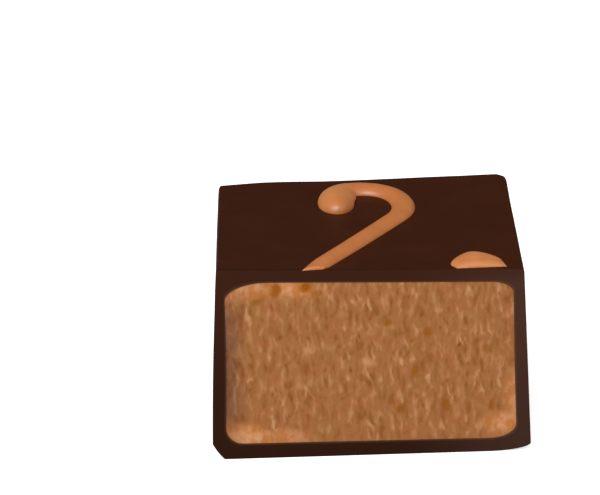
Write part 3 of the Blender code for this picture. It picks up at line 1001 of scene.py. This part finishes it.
def cut_flush(piece, cut_y, cut_slope, corner):
    """Cuts a strand off at the knife's plane, takes off a corner, and closes it with flat faces."""
    corner_x, radius, degrees = corner
    corner_y = cut_y + cut_slope * corner_x + radius
    planes = [((0, cut_y, 0), (cut_slope, -1, 0))]
    for angle in np.radians(degrees):
        way = (math.cos(angle), math.sin(angle), 0)
        planes.append(((corner_x + radius * way[0], corner_y + radius * way[1], 0), way))
    bm = bmesh.new()
    bm.from_mesh(piece.data)
    for spot, way in planes:
        everything = [*bm.verts, *bm.edges, *bm.faces]
        done = bmesh.ops.bisect_plane(
            bm, geom=everything, plane_co=spot, plane_no=way, dist=1e-7, clear_outer=True,
        )
        edges = [item for item in done["geom_cut"] if isinstance(item, bmesh.types.BMEdge)]
        bmesh.ops.holes_fill(bm, edges=edges)
        for edge in edges:
            edge.smooth = False
    bmesh.ops.recalc_face_normals(bm, faces=bm.faces)
    for face in bm.faces:
        face.smooth = True
    bm.to_mesh(piece.data)
    bm.free()


def milk_chocolate():
    """Milk chocolate, satin where it set in air. Where the strand is plump, at the hook's round
    start and in the hump, it is painted paler, as painted light; the thin strand keeps the darker
    tone.
    """
    material, tree, shader, place = new_finish("milk_chocolate")
    plump = add(tree, "ShaderNodeAttribute", attribute_name="plump").outputs["Fac"]
    thin = mottled(tree, place, srgb(192, 111, 50), srgb(199, 117, 54), 900.0, 8.0)
    # Painted light: the plump parts take a paler tone.
    plump_painted_light = mottled(tree, place, srgb(203, 123, 61), srgb(211, 131, 69), 900.0, 8.0)
    colour = mix_colours(tree, ramp(tree, plump, 0.00104, 0.00150), thin, plump_painted_light)
    finish = {"Base Color": colour, "Roughness": 0.43, "Specular IOR Level": 1.0}
    connect(tree, shader, finish)
    return material


strand = strand_recipe()
milk = milk_chocolate()
swirls = {
    "piping_hook": (
        (HOOK_SLICE_X, HOOK_HEADING, HOOK_RUNS, HOOK_HALF_WIDTHS, HOOK_HEIGHTS, HOOK_ROUND_END),
        (HOOK_RECESS, HOOK_CUT_SLOPE, HOOK_CUT_ROUND, HOOK_CORNER),
    ),
    "piping_hump": (
        (HUMP_SLICE_X, HUMP_HEADING, HUMP_RUNS, HUMP_HALF_WIDTHS, HUMP_HEIGHTS, HUMP_ROUND_END),
        (HUMP_RECESS, HUMP_CUT_SLOPE, HUMP_CUT_ROUND, HUMP_CORNER),
    ),
}
for name, (path, (recess, slope, cut_round, corner)) in swirls.items():
    cut_slope = slope + SLICE_SKEW / (FOOT_LENGTH / 2)
    cut_y = SLICE_Y + recess - slope * path[0]
    piping = make_from(
        strand, guide_mesh(name, *path), name, sides=40, sunk=SUNK, wobble=0.00005, seed=21.0,
        cut_y=cut_y, cut_slope=cut_slope, cut_round=cut_round, material=milk,
    )
    cut_flush(piping, cut_y, cut_slope, corner)
    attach(piping, "root")
    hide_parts(name)


# --- Floor, light and camera ---------------------------------------------------------------------
# A plain pale floor that runs into a white surround, two soft lights from the front left, a weaker
# one from the front right, and a camera that looks down a little on the cut.

FLOOR_HALF = 3.0

# The camera stands in this direction and at this distance from the middle of the foot, a little in
# front of it by CAMERA_Y. From there it is moved right and up, and it is tilted by its roll.
CAMERA_AZIMUTH = math.radians(-0.4705)
CAMERA_ELEVATION = math.radians(22.0)
CAMERA_ROLL = math.radians(-1.0309)
CAMERA_DISTANCE = 0.252525
CAMERA_RIGHT = -0.0055201
CAMERA_UP = 0.0126130
CAMERA_Y = -0.000634
CAMERA_LENS = 186.298


def pale_floor():
    """White paper, faintly mottled. It glows a little, and the chocolate hardly mirrors it."""
    material, tree, shader, place = new_finish("pale_floor")
    mottle = noise(tree, place, 1.0, scale=40.0)
    tone = mix_colours(tree, mottle, (0.86, 0.86, 0.86, 1.0), (0.88, 0.88, 0.88, 1.0))
    path = add(tree, "ShaderNodeLightPath").outputs
    tone = mix_colours(tree, path["Is Glossy Ray"], tone, (0.25, 0.25, 0.25, 1.0))
    glow = mix_colours(tree, path["Is Camera Ray"], (1.0, 1.0, 1.0, 1.0), (3.0, 3.0, 3.0, 1.0))
    finish = {"Base Color": tone, "Roughness": 0.9, "Specular IOR Level": 0.0}
    connect(tree, shader, finish)
    connect(tree, shader, {"Emission Color": glow, "Emission Strength": 0.22})
    return material


bm = bmesh.new()
bmesh.ops.create_grid(bm, x_segments=4, y_segments=4, size=FLOOR_HALF)
floor_mesh = bpy.data.meshes.new("floor")
bm.to_mesh(floor_mesh)
bm.free()
floor_mesh.materials.append(pale_floor())
floor = put("floor", floor_mesh)

world = bpy.data.worlds.new("surround")
world.use_nodes = True
bpy.context.scene.world = world
sky = world.node_tree
rays = add(sky, "ShaderNodeLightPath").outputs
strength = blend_of(sky, rays["Is Camera Ray"], 0.50, 1.0)
strength = blend_of(sky, rays["Is Glossy Ray"], strength, 0.06)
connect(sky, sky.nodes["Background"], {"Color": (1.0, 1.0, 1.0, 1.0), "Strength": strength})


def seen_from(azimuth, elevation):
    """The way out from the praline at an azimuth and an elevation. Azimuth 0 is in front."""
    flat = math.cos(elevation)
    return Vector((math.sin(azimuth) * flat, -math.cos(azimuth) * flat, math.sin(elevation)))


def soft_light(name, azimuth, elevation, distance, size, power):
    """A round soft light, aimed at the praline. Its azimuth and elevation are in degrees."""
    light = bpy.data.lights.new(name, "AREA")
    light.shape = "DISK"
    light.size = size
    light.energy = power
    way = seen_from(math.radians(azimuth), math.radians(elevation))
    aim = way.to_track_quat("Z", "Y").to_matrix().to_4x4()
    put(name, light).matrix_world = Matrix.Translation(way * distance) @ aim


soft_light("key", -50, 46, 0.5, 0.30, 0.86)
soft_light("front", -24, 50, 0.5, 0.24, 0.80)
soft_light("fill", 55, 40, 0.6, 0.40, 0.4)

camera = put("camera", bpy.data.cameras.new("camera"))
camera.data.lens = CAMERA_LENS
camera.data.clip_start = 0.01
back = seen_from(CAMERA_AZIMUTH, CAMERA_ELEVATION)
level = Vector((math.cos(CAMERA_AZIMUTH), math.sin(CAMERA_AZIMUTH), 0.0))
upright = back.cross(level)
right = level * math.cos(CAMERA_ROLL) + upright * math.sin(CAMERA_ROLL)
up = upright * math.cos(CAMERA_ROLL) - level * math.sin(CAMERA_ROLL)
spot = back * CAMERA_DISTANCE + right * CAMERA_RIGHT + up * CAMERA_UP + Vector((0, CAMERA_Y, 0))
turned = Matrix((right, up, back)).transposed().to_4x4()
camera.matrix_world = Matrix.Translation(spot) @ turned
bpy.context.scene.camera = camera
bpy.context.scene.view_settings.view_transform = "Standard"
